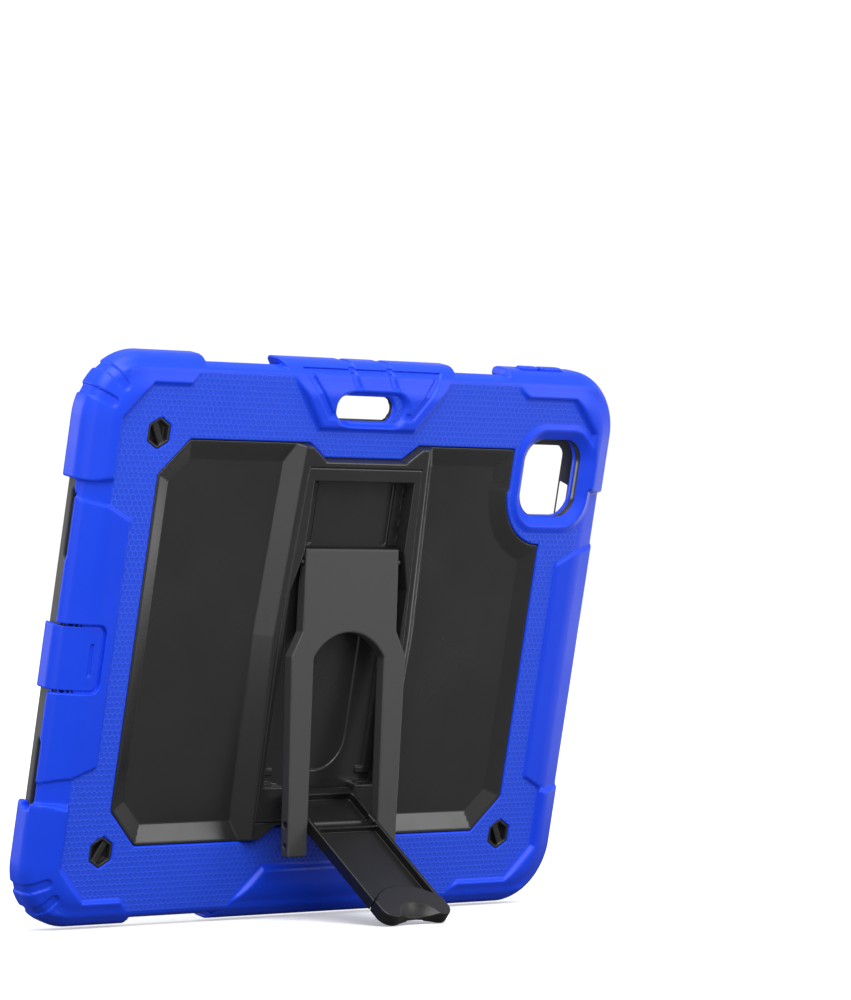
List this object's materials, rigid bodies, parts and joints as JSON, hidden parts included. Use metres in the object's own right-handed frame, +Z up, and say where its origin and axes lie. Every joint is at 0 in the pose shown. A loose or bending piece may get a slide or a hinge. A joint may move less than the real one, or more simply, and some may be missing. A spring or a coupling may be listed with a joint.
{
  "type": "tablet case",
  "caption": "Rugged tablet case: rubber skin over a hard shell and front frame, with a stylus bay and a linked fold-out stand.",
  "frame": {"origin": "middle of the case's bounding box, on the plane it stands on", "axes": "+Z up; X along the long side, +X towards the camera corner; the back and the stand face -Y, the screen side faces +Y, and the case leans back 12 degrees"},
  "size_m": [0.27, 0.0817, 0.2119],
  "materials": {
    "blue_rubber": "satin",
    "gloss_shell": "gloss",
    "matt_frame": "matte",
    "stand_plastic": "satin",
    "leg_plastic": "satin",
    "pin_steel": "satin"
  },
  "bodies": {
    "case": {"rubber_skin": "blue_rubber", "rear_shell": "gloss_shell", "front_frame": "matt_frame", "side_band": "matt_frame", "rail_low": "stand_plastic", "rail_camera_side": "stand_plastic", "rail_port_upper": "stand_plastic", "rail_port_lower": "stand_plastic", "rail_stylus_left": "stand_plastic", "rail_stylus_right": "stand_plastic", "stand_channel": "stand_plastic", "detent_strip_left": "stand_plastic", "detent_strip_right": "stand_plastic", "foot_hinge_pin": "pin_steel", "strap_anchor_top": "gloss_shell", "strap_anchor_bottom_left": "gloss_shell", "strap_anchor_bottom_right": "gloss_shell"},
    "foot": {"foot_plate": "stand_plastic", "foot_tip": "stand_plastic"},
    "leg": {"stand_leg": "leg_plastic", "leg_pivot_pin_left": "pin_steel", "leg_pivot_pin_right": "pin_steel", "slide_pin_left": "pin_steel", "slide_pin_right": "pin_steel"},
    "flap": {"port_flap": "blue_rubber"},
    "volume_up": {"volume_up_button": "blue_rubber"},
    "volume_down": {"volume_down_button": "blue_rubber"}
  },
  "joints": [
    {"name": "foot_swing", "type": "hinge", "parent": "case", "child": "foot", "pos_m": [0, 0.01741, 0.04708], "axis": [1, 0, 0], "range_deg": [-116.5, 0]},
    {"name": "leg_fold", "type": "hinge", "parent": "foot", "child": "leg", "pos_m": [0, 0.00411, 0.0365], "axis": [1, 0, 0], "range_deg": [0, 125.89]},
    {"name": "flap_swing", "type": "hinge", "parent": "case", "child": "flap", "pos_m": [-0.1328, 0.01852, 0.1015], "axis": [0, 0.2079, -0.9781], "range_deg": [0, 110], "stiffness_Nm_per_rad": 0.01},
    {"name": "volume_up_press", "type": "slide", "parent": "case", "child": "volume_up", "axis": [0, 0.2079, -0.9781], "range_m": [0, 0.0005], "stiffness_N_per_m": 500},
    {"name": "volume_down_press", "type": "slide", "parent": "case", "child": "volume_down", "axis": [0, 0.2079, -0.9781], "range_m": [0, 0.0005], "stiffness_N_per_m": 500}
  ],
  "couplings": [
    {"joint": "leg_fold", "follows": "foot_swing", "ratio": -1.0763}
  ]
}
